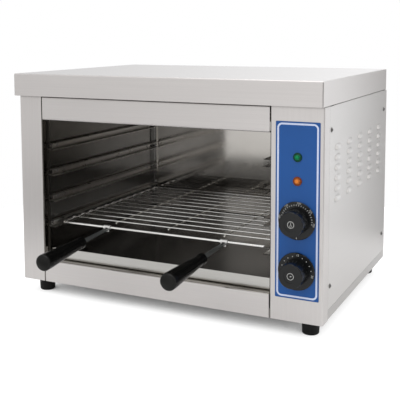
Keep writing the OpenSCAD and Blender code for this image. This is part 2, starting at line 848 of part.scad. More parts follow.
// Strips hung from the ceiling liner, with a hole for each leg
module element_hangers() color(bright)
    for (x = [liner_l + element_end + element_pitch, liner_r - hanger_right])
        difference() {
            y = [leg_ys[0] - hanger_margin, leg_ys[3] + hanger_margin];
            union() {
                span([x, x + strip], y, [element_z - element_r - hanger_drop, ceiling_z]);
                span([x, x + hanger_foot], y, [ceiling_z - strip, ceiling_z]);
            }
            for (y = leg_ys)
                rod_x([x - 1, x + strip + 1], y, element_z, element_r + hole_play);
        }

// Brass fittings that clamp the legs in the right liner
module element_fittings() color(brass_tone)
    for (y = leg_ys)
        translate([liner_r, y, element_z]) rotate([0, 90, 0]) difference() {
            union() {
                translate([0, 0, -fitting_collar_t]) cylinder(h = fitting_collar_t, r = fitting_collar_r);
                cylinder(h = liner_sheet, r = fitting_r);
                translate([0, 0, liner_sheet]) cylinder(h = fitting_hex_t, r = fitting_hex_r, $fn = 6);
            }
            translate([0, 0, -fitting_collar_t - 1])
                cylinder(h = fitting_collar_t + fitting_hex_t + liner_sheet + 2,
                    r = element_r + fitting_play);
        }

// Insulating bead and terminal stud on each cold end
module element_terminals() color("#e6e2d8")
    for (y = leg_ys)
        translate([tube_end_x, y, element_z]) rotate([0, 90, 0]) {
            cylinder(h = bead_len, r = element_r - bead_step);
            cylinder(h = stud_len, r = stud_r);
            translate([0, 0, stud_nut_x]) cylinder(h = stud_nut_t, r = stud_nut_r, $fn = 6);
        }

// ---------- Controls ----------

// Points along a control's axis: local z = 0 is the post's inner face and +z points forward
module on_axis(up)
    translate([control_x, post_y, base_z + up]) rotate([90, 0, 0]) children();

// Threaded bush with its blind bore for the shaft
module bushed(bore)
    difference() {
        union() {
            children();
            translate([0, 0, -bush_root])
                cylinder(h = bush_root + sheet + label_t + bush_len, r = bush_r);
        }
        translate([0, 0, -bore])
            cylinder(h = bore + sheet + label_t + bush_len + 1, r = shaft_r + shaft_play);
    }

// Pair of push-on terminal tabs under a control's body
module control_tabs(x, under, z)
    for (s = [-1, 1])
        translate([s * x - tab_w / 2, -under - tab_len * 0.75, -z]) cube([tab_w, tab_len, tab_t]);

module thermostat_body() color("#d9d3c3") on_axis(thermostat_up)
    bushed(bore_deep) {
        translate([0, 0, -control_depth]) linear_extrude(control_depth)
            soft_rect([-thermostat_half_w, thermostat_half_w], [-thermostat_half_h, thermostat_half_h],
                thermostat_corner);
        translate([0, 0, -control_depth - switch_len]) cylinder(h = switch_len + 1, r = switch_r);
        control_tabs(thermostat_tab_x, thermostat_half_h, thermostat_tab_z);
    }

module timer_body() color("#c9c8c6") on_axis(timer_up)
    bushed(bore_deep) {
        translate([0, 0, -control_depth]) cylinder(h = control_depth, r = timer_can_r);
        translate([0, 0, -control_depth - timer_gear_len])
            cylinder(h = timer_gear_len + 1, r = timer_gear_r);
        control_tabs(timer_tab_x, timer_can_r, timer_tab_z);
    }

module bush_nuts() color("#c8c4ba")
    for (up = dial_ups)
        on_axis(up) translate([0, 0, sheet + label_t]) difference() {
            cylinder(h = nut_t, r = bush_r + nut_over, $fn = 6);
            translate([0, 0, -1]) cylinder(h = nut_t + 2, r = bush_r + shaft_play);
        }

module control_shaft(up) color("#b8b6b0") on_axis(up)
    translate([0, 0, -shaft_deep])
        cylinder(h = shaft_deep + sheet + label_t + dial_h - shaft_short, r = shaft_r);
module thermostat_shaft() control_shaft(thermostat_up);
module timer_shaft() control_shaft(timer_up);

// Moulded dial: flat skirt for the graduations, slightly tapered grip with shallow finger
// scallops and a recessed face, and a hollow behind for the nut
module dial(up) color(black) on_axis(up) translate([0, 0, sheet + label_t])
    difference() {
        grip_z = skirt_gap + skirt_t;
        edge = 1.8;
        recess = 0.6;
        chamfer = 0.8;
        lean = atan((dial_base_r - dial_face_r) / (dial_h - grip_z));
        rotate_extrude() difference() {
            union() {
                polygon([
                    [0, skirt_gap], [skirt_r - chamfer, skirt_gap], [skirt_r, skirt_gap + chamfer],
                    [skirt_r, grip_z - chamfer], [skirt_r - chamfer, grip_z], [dial_base_r, grip_z],
                    [dial_face_r, dial_h - edge], [dial_face_r - edge, dial_h], [0, dial_h]
                ]);
                translate([dial_face_r - edge, dial_h - edge]) circle(edge);
            }
            square([bush_r + 5, skirt_gap + 5]);
            translate([0, dial_h - recess]) square([dial_recess_r, 2 * recess]);
        }
        for (i = [0 : scallops - 1])
            rotate((i + 0.5) * 360 / scallops)
                intersection() {
                    translate([dial_base_r + scallop_r - scallop_depth, 0, grip_z]) rotate([0, -lean, 0])
                        translate([0, 0, -scallop_r]) cylinder(h = dial_h + 2 * scallop_r, r = scallop_r);
                    translate([0, -scallop_r, grip_z + chamfer]) cube([skirt_r, 2 * scallop_r, dial_h]);
                }
        cylinder(h = dial_h - shaft_short, r = shaft_r);
    }
module thermostat_dial() dial(thermostat_up);
module timer_dial() dial(timer_up);

module control_label() color(blue) difference() {
    along_y([face_y, front_y])
        soft_rect([control_x - label_w / 2, control_x + label_w / 2],
            [base_z + label_up, base_z + label_up + label_h], label_r);
    control_holes([face_y - 1, front_y + 1]);
}

// Lamp barrels through the post, each with its spring collar and terminal tails
module lamp_holders() color("#3a3a3c")
    for (up = lamp_ups)
        on_axis(up) {
            translate([0, 0, -barrel_len]) cylinder(h = barrel_len + sheet + label_t, r = barrel_r);
            translate([0, 0, -collar_t]) cylinder(h = collar_t, r = lamp_collar_r);
            for (s = [-1, 1])
                translate([s * lamp_tab_x - tab_t / 2, -lamp_tab_w / 2, -barrel_len - lamp_tab_len])
                    cube([tab_t, lamp_tab_w, lamp_tab_len + 1]);
        }

// Lens snapped on the barrel's end: a round-edged flange on the label, and a dome
module lens(up)
    on_axis(up) translate([0, 0, sheet + label_t]) rotate_extrude() {
        dome_ball_r = (lens_r * lens_r + lens_dome * lens_dome) / (2 * lens_dome);
        square([lamp_r - lens_edge, lens_flange]);
        square([lamp_r, lens_flange - lens_edge]);
        translate([lamp_r - lens_edge, lens_flange - lens_edge]) circle(lens_edge);
        intersection() {
            translate([0, lens_flange + lens_dome - dome_ball_r]) circle(dome_ball_r);
            translate([0, lens_flange / 2]) square([lens_r, lens_flange + lens_dome]);
        }
    }
module green_lens() color("#1f9a68") lens(green_up);
module amber_lens() color("#e8772a") lens(amber_up);

// Bulb in the chamber, and its capillary tube through the liner to the thermostat
module thermostat_bulb() color("#b08050")
    rod_y(bulb_x, [bulb_y0, bulb_y0 + bulb_len], bulb_z, bulb_r);

module capillary_tube() color("#b08050") {
    bend_y = bulb_y0 - capillary_bend;
    down_x = capillary_x + capillary_bend;
    end_z = base_z + thermostat_up;
    end_y = post_y + control_depth + switch_len;
    translate([bulb_x + capillary_bend, bulb_y0, bulb_z]) rotate(180)
        rotate_extrude(angle = 90) translate([capillary_bend, 0]) circle(capillary_r);
    rod_x([bulb_x + capillary_bend, capillary_x], bend_y, bulb_z, capillary_r);
    translate([capillary_x, bend_y, bulb_z - capillary_bend]) rotate([90, 0, 0])
        rotate_extrude(angle = 90) translate([capillary_bend, 0]) circle(capillary_r);
    rod_z(down_x, bend_y, [end_z + capillary_bend, bulb_z - capillary_bend], capillary_r);
    translate([down_x, bend_y - capillary_bend, end_z + capillary_bend]) rotate([0, 90, 0])
        rotate_extrude(angle = 90) translate([capillary_bend, 0]) circle(capillary_r);
    rod_y(down_x, [end_y, bend_y - capillary_bend], end_z, capillary_r);
}

module terminal_block() color("#ece8dc") difference() {
    x0 = gland_x - 26;
    y0 = back_y - 78;
    span([x0, x0 + 48], [y0, y0 + 22], [base_z + sheet, base_z + sheet + 17]);
    for (i = [0 : 2])
        rod_y(x0 + 8 + i * 16, [y0 - 1, y0 + 23], base_z + sheet + 8, 2.6);
    for (i = [0 : 2], y = [y0 + 6, y0 + 16])
        rod_z(x0 + 8 + i * 16, y, [base_z + sheet + 8, base_z + sheet + 18], 2.2);
    for (i = [0, 1])
        rod_z(x0 + 16 + i * 16, y0 + 11, [base_z, base_z + sheet + 18], 1.6);
}

// Cable gland: thread through the back panel, hexagon, dome nut and a bore for the cable
module cable_gland() color(black)
    translate([gland_x, back_y, gland_z]) rotate([-90, 0, 0]) difference() {
        union() {
            translate([0, 0, -sheet - 9]) cylinder(h = sheet + 10, r = gland_thread_r);
            cylinder(h = 5, r = gland_thread_r + 4.5, $fn = 6);
            rotate_extrude() polygon([
                [0, 4], [gland_thread_r + 2.6, 4], [gland_thread_r + 2.6, gland_out - 5],
                [gland_bore_r + 1.6, gland_out], [0, gland_out]
            ]);
        }
        translate([0, 0, -sheet - 10]) cylinder(h = gland_out + sheet + 12, r = gland_bore_r);
    }

module gland_nut() color(black)
    translate([gland_x, back_y - sheet, gland_z]) rotate([90, 0, 0]) difference() {
        cylinder(h = 4.5, r = gland_thread_r + 4.5, $fn = 6);
        translate([0, 0, -1]) cylinder(h = 7, r = gland_thread_r + 0.05);
    }

// ---------- Feet ----------

module foot(x, y) color(black) translate([foot_xs[x], foot_ys[y], 0]) difference() {
    rotate_extrude() polygon([
        [0, 0], [foot_bottom_r - 1.5, 0], [foot_bottom_r, 1.5],
        [foot_top_r, foot_h - 2], [foot_top_r, foot_h], [0, foot_h]
    ]);
    translate([0, 0, -1]) cylinder(h = foot_recess_h + 1, r = foot_recess_r);
    cylinder(h = foot_h + 1, r = foot_screw_r + hole_play);
}
module foot_front_left() foot(0, 0);
module foot_front_right() foot(1, 0);
module foot_rear_left() foot(0, 1);
module foot_rear_right() foot(1, 1);

// Screws up through the feet, each with its nut on the base pan
module foot_screws() color(bright)
    for (x = foot_xs, y = foot_ys)
        translate([x, y, 0]) {
            translate([0, 0, foot_recess_h - 3]) cylinder(h = 3, r = foot_recess_r - 1.5);
            translate([0, 0, foot_recess_h - 1])
                cylinder(h = foot_h + sheet + 6 - foot_recess_h + 1, r = foot_screw_r);
            translate([0, 0, foot_h + sheet]) cylinder(h = 4, r = 4.6, $fn = 6);
        }

// ---------- Rack ----------

module rack_frame() color(wire_steel) {
    r = frame_wire / 2;
    xs = [rack_l + r, rack_r - r];
    ys = [rack_y0, rack_y1];
    for (y = ys)
        rod_x([xs[0] + corner_r, xs[1] - corner_r], y, rack_z, r);
    for (x = xs)
        rod_y(x, [ys[0] + corner_r, ys[1] - corner_r], rack_z, r);
    for (i = [0, 1], j = [0, 1])
        translate([xs[i] + (1 - 2 * i) * corner_r, ys[j] + (1 - 2 * j) * corner_r, rack_z])
            rotate(i == 0 ? (j == 0 ? 180 : 90) : (j == 0 ? 270 : 0))
                rotate_extrude(angle = 90) translate([corner_r, 0]) circle(r);
}

module rack_cross_wires() color(wire_steel)
    for (i = [0 : cross_count - 1])
        rod_x([rack_l + 1, rack_r - 1], rack_y0 + cross_first + i * cross_pitch, cross_z, cross_wire / 2);

module rack_support_wires() color(wire_steel)
    for (i = [-1 : 1])
        rod_y(mid_x + i * support_pitch, [rack_y0 + cross_first - support_start, rack_y1 - 1.2],
            support_z, support_wire / 2);

// ---------- Handles ----------

// Local frame of a handle: the front wire's centre, turned by toe_in and sloping down by
// droop, -Y forward
module at_handle(s)
    translate([mid_x + handle_shift + s * handle_pitch / 2, rack_y0, rack_z])
        rotate([0, 0, -s * toe_in]) rotate([droop, 0, 0]) children();

// Strip hooked over the wire, with a narrower tail under the hook, and folded into the
// channel-shaped shank, whose walls get lower towards the hook
module handle_clip(s) color(wire_steel) at_handle(s) {
    hook_r = frame_wire / 2 + hook_play;
    along_x([-hook_w / 2, hook_w / 2]) difference() {
        circle(hook_r + strip);
        circle(hook_r);
        rotate(-70) square([20, 20]);
    }
    along_x([-tail_w / 2, tail_w / 2])
        translate([-hook_r - strip, -hook_r - hook_tail]) square([strip, hook_r + hook_tail]);
    difference() {
        along_x([-shank_w / 2, shank_w / 2]) polygon([
            [-shank_len - tang, -shank_h], [-hook_r - strip / 2, -shank_h],
            [-hook_r - strip / 2, nose_h - shank_h], [-shank_len, 0], [-shank_len - tang, 0]
        ]);
        span([-shank_w / 2 + strip, shank_w / 2 - strip],
            [-shank_len - tang - 1, -hook_r - strip - 1], [-shank_h + strip, 1]);
    }
}
module handle_clip_left() handle_clip(-1);
module handle_clip_right() handle_clip(1);

// Tapered moulded grip with a collar at the shank and a pocket for it. Its end is domed,
// and the edge radius runs into both the dome and the side.
module grip(s) color(black) at_handle(s)
    translate([0, -shank_len, -shank_h / 2]) rotate([90, 0, 0]) difference() {
        edge_x = grip_front_r - grip_edge;
        edge_rise = sqrt((dome_r - grip_edge) * (dome_r - grip_edge) - edge_x * edge_x);
        edge_z = grip_len - dome_r + edge_rise;
        rotate_extrude() {
            polygon([
                [0, 0], [grip_rear_r - 1.5, 0], [grip_rear_r, 1.5], [grip_rear_r, 9],
                [grip_rear_r - 0.8, 12], [grip_front_r, grip_len - 14], [grip_front_r, edge_z],
                [0, edge_z]
            ]);
            translate([edge_x, edge_z]) circle(grip_edge);
            intersection() {
                translate([0, grip_len - dome_r]) circle(dome_r);
                translate([0, edge_z - 1])
                    square([edge_x * dome_r / (dome_r - grip_edge), dome_r]);
            }
        }
        translate([-shank_w / 2 - pocket_play, -shank_h / 2 - pocket_play, -1])
            cube([shank_w + 2 * pocket_play, shank_h + 2 * pocket_play, tang + 2]);
    }
module grip_left() grip(-1);
module grip_right() grip(1);

// ---------- Crumb tray ----------

module crumb_tray() color(steel) difference() {
    x = [liner_l + tray_side_gap, liner_r - tray_side_gap];
    y = [tray_y0, tray_y1];
    z = [tray_z, tray_z + tray_h];
    soft_box(x, y, [z[0], z[1] + 20], bend_r + liner_sheet);
    soft_box([x[0] + liner_sheet, x[1] - liner_sheet], [y[0] + liner_sheet, y[1] - liner_sheet],
        [z[0] + liner_sheet, z[1] + 40], bend_r);
    span([x[0] - 1, x[1] + 1], [y[0] - 1, y[1] + 1], [z[1], z[1] + 30]);
}

// ---------- Rivets and screws ----------

// Rivets of the runners: a domed head in the channel and a set tail behind the liner
module runner_rivets() color(bright)
    for (s = [-1, 1], y = rivet_ys, level = [0 : 3])
        translate([s < 0 ? liner_l : liner_r, y, base_z + runner_up + level * runner_pitch])
            rotate([0, -s * 90, 0]) rotate_extrude() {
                chord = rivet_head_r * rivet_head_r;
                ball_r = (chord + rivet_head_h * rivet_head_h) / (2 * rivet_head_h);
                translate([0, -liner_sheet - rivet_head_h]) {
                    square([rivet_head_r - 0.4, rivet_head_h]);
                    square([rivet_r, 2 * liner_sheet + 1.5 * rivet_head_h]);
                }
                intersection() {
                    translate([0, liner_sheet + rivet_head_h - ball_r]) circle(ball_r);
                    translate([0, liner_sheet]) square([rivet_head_r, rivet_head_h]);
                }
            }

// Screws through the side liners' rear flanges and the back liner
module liner_screws() color(bright)
    for (x = [liner_l + liner_corner / 2, liner_r - liner_corner / 2], z = corner_screw_zs)
        translate([x, liner_back - liner_sheet, z]) rotate([90, 0, 0])
            panel_screw(corner_screw_len, corner_screw_r, corner_head_r, corner_head_h);

module side_cover_screws() color(bright)
    for (s = [-1, 1], y = cover_screw_ys, z = cover_screw_zs)
        translate([s * half, y, z]) rotate([0, s * 90, 0]) panel_screw(panel_screw_len);

module back_panel_screws() color(bright)
    for (x = back_screw_xs)
        translate([x, back_y, back_screw_z]) rotate([-90, 0, 0]) panel_screw(panel_screw_len);

base_pan();
left_post();
control_post();
top_fascia();
bottom_fascia();
left_side_cover();
right_side_cover();
back_panel();
top_lid();
left_liner();
right_liner();
back_liner();
ceiling_liner();
chamber_floor();
runner_left_1();
runner_left_2();
runner_left_3();
runner_left_4();
runner_right_1();
runner_right_2();
runner_right_3();
runner_right_4();
element_front();
element_rear();
element_hangers();
element_fittings();
element_terminals();
thermostat_body();
thermostat_bulb();
capillary_tube();
timer_body();
bush_nuts();
thermostat_shaft();
thermostat_dial();
timer_shaft();
timer_dial();
control_label();
lamp_holders();
green_lens();
amber_lens();
terminal_block();
cable_gland();
gland_nut();
foot_front_left();
foot_front_right();
foot_rear_left();
foot_rear_right();
foot_screws();
rack_frame();
rack_cross_wires();
rack_support_wires();
handle_clip_left();
handle_clip_right();
grip_left();
grip_right();
crumb_tray();
runner_rivets();
liner_screws();
side_cover_screws();
back_panel_screws();
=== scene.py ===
# Electric cheese melter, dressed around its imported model.
import math

import bmesh
import bpy
from mathutils import Matrix, Vector


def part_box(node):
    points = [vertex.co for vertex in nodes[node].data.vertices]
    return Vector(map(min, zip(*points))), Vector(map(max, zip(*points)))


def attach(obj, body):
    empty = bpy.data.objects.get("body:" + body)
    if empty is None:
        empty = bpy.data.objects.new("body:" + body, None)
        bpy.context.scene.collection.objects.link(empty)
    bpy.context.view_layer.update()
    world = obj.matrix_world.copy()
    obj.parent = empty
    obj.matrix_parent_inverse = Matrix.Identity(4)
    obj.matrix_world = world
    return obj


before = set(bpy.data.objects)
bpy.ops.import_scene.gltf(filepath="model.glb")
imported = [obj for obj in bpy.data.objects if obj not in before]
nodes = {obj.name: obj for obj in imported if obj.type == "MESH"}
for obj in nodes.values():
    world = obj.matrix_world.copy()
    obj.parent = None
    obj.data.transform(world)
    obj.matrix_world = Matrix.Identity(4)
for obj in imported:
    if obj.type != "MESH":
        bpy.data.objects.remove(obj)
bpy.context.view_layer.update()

# ---------------------------------------------------------------------------
# Studio
# A pale round table in a white room, seen from the right of the open front. Two
# soft boxes light it, and three cards give the metal something darker to reflect.
# ---------------------------------------------------------------------------

MM = 0.001


def place(across, back, up):
    """A point in metres, from millimetres right of, behind and above the casing's front lower left."""
    left, front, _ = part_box("left_post")[0]
    return Vector((left + across * MM, front + back * MM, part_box("base_pan")[0][2] + up * MM))


camera_data = bpy.data.cameras.new("camera")
camera_data.sensor_width = 36.0
camera_data.lens = 70.22
camera_data.shift_y = -0.23
camera = bpy.data.objects.new("camera", camera_data)
bpy.context.scene.collection.objects.link(camera)
turn_left, look_down, lean = math.radians(25.822), math.radians(5.537), math.radians(-0.186)
aim = Matrix.Rotation(turn_left, 4, "Z") @ Matrix.Rotation(math.pi / 2 - look_down, 4, "X")
eye = Matrix.Translation(place(954.26, -1183.99, 473.80))
camera.matrix_world = eye @ aim @ Matrix.Rotation(lean, 4, "Z")
bpy.context.scene.camera = camera
bpy.context.scene.view_settings.view_transform = "Standard"


def linear(hex_colour):
    """A colour written as sRGB hex, turned to linear RGBA."""
    parts = [int(hex_colour[i:i + 2], 16) / 255 for i in (1, 3, 5)]
    return tuple(c / 12.92 if c <= 0.04045 else ((c + 0.055) / 1.055) ** 2.4 for c in parts) + (1.0,)


def add(tree, kind, values=None, links=None, stops=(), **settings):
    """A node of that kind, with its settings, the values of its sockets, the links into them and, for
    a colour ramp, its stops of position and linear RGBA."""
    made = tree.nodes.new(kind)
    for name, value in settings.items():
        setattr(made, name, value)
    for name, value in (values or {}).items():
        made.inputs[name].default_value = value
    for name, source in (links or {}).items():
        tree.links.new(source, made.inputs[name])
    while stops and len(made.color_ramp.elements) < len(stops):
        made.color_ramp.elements.new(0.5)
    for number, (position, colour) in enumerate(stops):
        made.color_ramp.elements[number].position = position
        made.color_ramp.elements[number].color = colour
    return made


def grey(level):
    """A neutral tone of that linear level."""
    return (level, level, level, 1.0)


# The room is white to the eye, and gives the metal a softer, uneven light to reflect.
room = bpy.data.worlds.new("white_room")
room.use_nodes = True
tree = room.node_tree
tree.nodes.clear()
direction = add(tree, "ShaderNodeTexCoord")
parts = add(tree, "ShaderNodeSeparateXYZ", links={"Vector": direction.outputs["Generated"]})
height = add(tree, "ShaderNodeMapRange", {"From Min": -1.0, "From Max": 1.0},
             {"Value": parts.outputs["Z"]})
sky = add(tree, "ShaderNodeValToRGB", None, {"Fac": height.outputs["Result"]},
          stops=[(0.0, grey(0.85)), (0.46, grey(0.98)), (0.60, grey(1.0)), (1.0, grey(1.0))])
forward = add(tree, "ShaderNodeMath", {1: -1.0}, {0: parts.outputs["Y"]}, operation="MULTIPLY")
round_room = add(tree, "ShaderNodeMath", None, {0: parts.outputs["X"], 1: forward.outputs["Value"]},
                 operation="ARCTAN2")
turn = add(tree, "ShaderNodeMapRange", {"From Min": -math.pi, "From Max": math.pi},
           {"Value": round_room.outputs["Value"]})


def bearing(degrees):
    """The share of a turn round the room at an angle from straight in front, positive to the right."""
    return (degrees + 180) / 360


def cool(level):
    """Daylight from behind, a little bluer than the lamps."""
    return (level * 0.972, level * 0.994, level * 1.012, 1.0)


# The corner where the camera stands is dark
walls = add(tree, "ShaderNodeValToRGB", None, {"Fac": turn.outputs["Result"]}, stops=[
    (0.0, cool(1.42)), (bearing(-166), cool(1.26)), (bearing(-150), cool(0.92)),
    (bearing(-137), cool(0.79)), (bearing(-70), grey(0.84)), (bearing(-40), grey(0.78)),
    (bearing(-22), grey(1.08)), (bearing(2), grey(1.22)), (bearing(17), grey(0.85)),
    (bearing(30.5), grey(0.70)), (bearing(33), grey(0.06)), (bearing(44), grey(0.06)),
    (bearing(66), grey(0.88)), (bearing(125), grey(0.85)), (bearing(150), cool(1.3)),
    (bearing(163), cool(1.66)), (1.0, cool(1.42))])
soft_room = add(tree, "ShaderNodeVectorMath", None, {0: sky.outputs["Color"], 1: walls.outputs["Color"]},
                operation="MULTIPLY")
lit = add(tree, "ShaderNodeBackground", {"Strength": 1.0}, {"Color": soft_room.outputs["Vector"]})
seen = add(tree, "ShaderNodeBackground", {"Color": grey(1.0), "Strength": 1.0})
rays = add(tree, "ShaderNodeLightPath")
choice = add(tree, "ShaderNodeMixShader", None,
             {"Fac": rays.outputs["Is Camera Ray"], 1: lit.outputs["Background"],
              2: seen.outputs["Background"]})
add(tree, "ShaderNodeOutputWorld", None, {"Surface": choice.outputs["Shader"]})
bpy.context.scene.world = room

# The table top is a white laminate: white to the eye apart from the casing's soft shadow, which the
# glow fades out within 300 mm of it. The metal shows a good part of that glow too.
bm = bmesh.new()
bmesh.ops.create_circle(bm, cap_ends=True, segments=96, radius=0.9)
table_mesh = bpy.data.meshes.new("table_top")
bm.to_mesh(table_mesh)
bm.free()
table_top = bpy.data.objects.new("table_top", table_mesh)
bpy.context.scene.collection.objects.link(table_top)
laminate = bpy.data.materials.new("white_laminate")
laminate.use_nodes = True
tree = laminate.node_tree
tree.nodes.clear()
rays = add(tree, "ShaderNodeLightPath")
shaded = add(tree, "ShaderNodeBsdfDiffuse", {"Color": grey(0.35)})
under = add(tree, "ShaderNodeAmbientOcclusion", {"Distance": 0.3}, samples=16)
fade = add(tree, "ShaderNodeValToRGB", None, {"Fac": under.outputs["AO"]},
           stops=[(0.02, grey(0.06)), (0.07, grey(0.18)), (0.12, grey(0.46)),
                  (0.17, grey(0.68)), (0.30, grey(0.80)), (0.85, grey(0.88))])
glow = add(tree, "ShaderNodeEmission", {"Strength": 1.0}, {"Color": fade.outputs["Color"]})
to_eye = add(tree, "ShaderNodeAddShader", None, {0: shaded.outputs["BSDF"], 1: glow.outputs["Emission"]})
to_light = add(tree, "ShaderNodeBsdfDiffuse", {"Color": grey(0.72)})
shown = add(tree, "ShaderNodeMath", {1: 0.35},
            {0: rays.outputs["Is Glossy Ray"], 2: rays.outputs["Is Camera Ray"]},
            operation="MULTIPLY_ADD", use_clamp=True)
choice = add(tree, "ShaderNodeMixShader", None,
             {"Fac": shown.outputs["Value"], 1: to_light.outputs["BSDF"], 2: to_eye.outputs["Shader"]})
add(tree, "ShaderNodeOutputMaterial", None, {"Surface": choice.outputs["Shader"]})
table_mesh.materials.append(laminate)


def softbox(name, at, towards, size, power):
    """A square area lamp of that size in metres, aimed at a point."""
    data = bpy.data.lights.new(name, "AREA")
    data.size = size
    data.energy = power
    lamp = bpy.data.objects.new(name, data)
    bpy.context.scene.collection.objects.link(lamp)
    way = Vector(towards) - Vector(at)
    lamp.matrix_world = Matrix.Translation(at) @ way.to_track_quat("-Z", "Y").to_matrix().to_4x4()


softbox("overhead_box", (0.3, -0.4, 2.6), (0.0, 0.0, 0.2), 2.6, 34)
softbox("right_box", (2.6, -0.5, 1.4), (0.2, 0.0, 0.2), 2.4, 8)


def reflector_card(name, wide, tall, stand, shade):
    """A matt card that only the metal sees, of that size in metres, moved by the matrix stand."""
    bm = bmesh.new()
    bmesh.ops.create_grid(bm, x_segments=1, y_segments=1, size=0.5)
    bmesh.ops.scale(bm, vec=(wide, tall, 1), verts=bm.verts)
    bmesh.ops.transform(bm, matrix=stand, verts=bm.verts)
    mesh = bpy.data.meshes.new(name)
    bm.to_mesh(mesh)
    bm.free()
    card = bpy.data.objects.new(name, mesh)
    bpy.context.scene.collection.objects.link(card)
    board = bpy.data.materials.new(f"{name}_board")
    board.use_nodes = True
    shader = board.node_tree.nodes["Principled BSDF"]
    shader.inputs["Base Color"].default_value = grey(shade)
    shader.inputs["Roughness"].default_value = 0.9
    mesh.materials.append(board)
    card.visible_camera = False
    card.visible_diffuse = False
    card.visible_shadow = False


# Two of them darken the right-hand side towards its rear and its foot. The dark one lies in front
# to the left, for the foot of the left post and of the back liner.
upright = Matrix.Rotation(math.pi / 2, 4, "X")
reflector_card("grey_card", 0.16, 0.7, Matrix.Translation((0.40, 0.52, 0.33)) @ upright, 0.55)
reflector_card("pale_card", 0.4, 1.0, Matrix.Translation((0.515, 0.40, 0.004)), 0.80)
reflector_card("dark_card", 0.82, 0.5, Matrix.Translation((-0.49, -0.73, 0.004)), 0.17)

# ---------------------------------------------------------------------------
# Casing
# Lid, posts, fascias, covers, base pan and back are folded from 1.2 mm stainless
# sheet with a satin brushed face, the grain running along each sheet, and are
# screwed together inside.
# ---------------------------------------------------------------------------


def painted_fold_shade(material, reach_mm, fold_shade, enclosed=0.25):
    """Paints shade into a finish within that reach of folds and open seams, where the view is enclosed.
    It is darkest where no more than that share of the view is open."""
    tree = material.node_tree
    colour = tree.nodes["Principled BSDF"].inputs["Base Color"]
    near = add(tree, "ShaderNodeAmbientOcclusion", {"Distance": reach_mm * MM}, samples=8)
    fold_shaded = add(tree, "ShaderNodeValToRGB", None, {"Fac": near.outputs["AO"]},
                 stops=[(enclosed, linear(fold_shade)), (0.95, grey(1.0))])
    shade_mixed = add(tree, "ShaderNodeMix", {0: 1.0},
               {6: colour.links[0].from_socket, 7: fold_shaded.outputs["Color"]},
               data_type="RGBA", blend_type="MULTIPLY")
    tree.links.new(shade_mixed.outputs[2], colour)


def stainless(name, along, face="#d0ccca", rough=0.40, grain=0.02, grain_mm=2.5, fold_shade="#6b6864"):
    """Satin brushed stainless sheet, which draws each reflection out into a soft glow. The grain lines
    run along one axis, 0, 1 or 2; real ones are 0.1 mm apart and are drawn grain_mm apart so that
    they show."""
    made = bpy.data.materials.new(name)
    made.use_nodes = True
    tree = made.node_tree
    shader = tree.nodes["Principled BSDF"]
    shader.inputs["Metallic"].default_value = 1.0
    where = add(tree, "ShaderNodeTexCoord")
    per_metre = 1000 / grain_mm
    stretch = [per_metre, per_metre, per_metre]
    stretch[along] = per_metre / 60
    lines = add(tree, "ShaderNodeMapping", {"Scale": stretch}, {"Vector": where.outputs["Object"]})
    brushed = add(tree, "ShaderNodeTexNoise", {"Scale": 1.0, "Detail": 3.0, "Roughness": 0.6},
                  {"Vector": lines.outputs["Vector"]})
    clouds = add(tree, "ShaderNodeTexNoise", {"Scale": 5.0, "Detail": 1.0},
                 {"Vector": where.outputs["Object"]})
    colour = linear(face)
    dark = tuple(c * (1 - grain) for c in colour[:3]) + (1.0,)
    light = tuple(min(1.0, c * (1 + grain)) for c in colour[:3]) + (1.0,)
    tint = add(tree, "ShaderNodeValToRGB", None, {"Fac": brushed.outputs["Fac"]},
               stops=[(0.3, dark), (0.7, light)])
    gloss = add(tree, "ShaderNodeMapRange", {"To Min": rough - 0.05, "To Max": rough + 0.05},
                {"Value": clouds.outputs["Fac"]})
    tree.links.new(gloss.outputs["Result"], shader.inputs["Roughness"])
    relief = add(tree, "ShaderNodeBump", {"Strength": 0.004, "Distance": 0.4 * MM},
                 {"Height": brushed.outputs["Fac"]})
    tree.links.new(relief.outputs["Normal"], shader.inputs["Normal"])
    tree.links.new(tint.outputs["Color"], shader.inputs["Base Color"])
    # Painted shade darkens its folds and open seams
    painted_fold_shade(made, 6, fold_shade)
    return made


def paint_light_and_shade(material, axis, plain_side, toned_side, tone="#6e6a65", gloss=0.12):
    """Paints a tone into a finish between two places on an axis. Below, most of its uses are painted
    shade, a painted dark reflection or a painted highlight.
    """
    tree = material.node_tree
    shader = tree.nodes["Principled BSDF"]
    where = add(tree, "ShaderNodeTexCoord")
    parts = add(tree, "ShaderNodeSeparateXYZ", None, {"Vector": where.outputs["Object"]})
    there = add(tree, "ShaderNodeMapRange", {"From Min": plain_side, "From Max": toned_side},
                {"Value": parts.outputs[axis]})
    colour, polish = shader.inputs["Base Color"], shader.inputs["Roughness"]
    tint = add(tree, "ShaderNodeMix", {7: linear(tone)},
               {0: there.outputs["Result"], 6: colour.links[0].from_socket}, data_type="RGBA")
    tree.links.new(tint.outputs[2], colour)
    change = add(tree, "ShaderNodeMix", {3: gloss},
                 {0: there.outputs["Result"], 2: polish.links[0].from_socket}, data_type="FLOAT")
    tree.links.new(change.outputs[0], polish)


def dress(material, *names):
    """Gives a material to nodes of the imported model."""
    for name in names:
        for slot in nodes[name].material_slots:
            slot.material = material


# Sheets brushed across the front: faint level lines on the lid and the fascia
dress(stainless("brushed_stainless_across", 0), "top_lid", "top_fascia", "back_panel")
# The side covers have a finer grain from front to back, and look smoother and a little paler
dress(stainless("brushed_stainless_deep", 1, face="#d1cecc", grain=0.012, grain_mm=2.0),
      "left_side_cover", "right_side_cover")
# The base pan is a duller sheet, so its upstands read as a strip of their own under the covers
dress(stainless("brushed_stainless_base", 1, face="#bfbcba", grain=0.012, grain_mm=2.0), "base_pan")
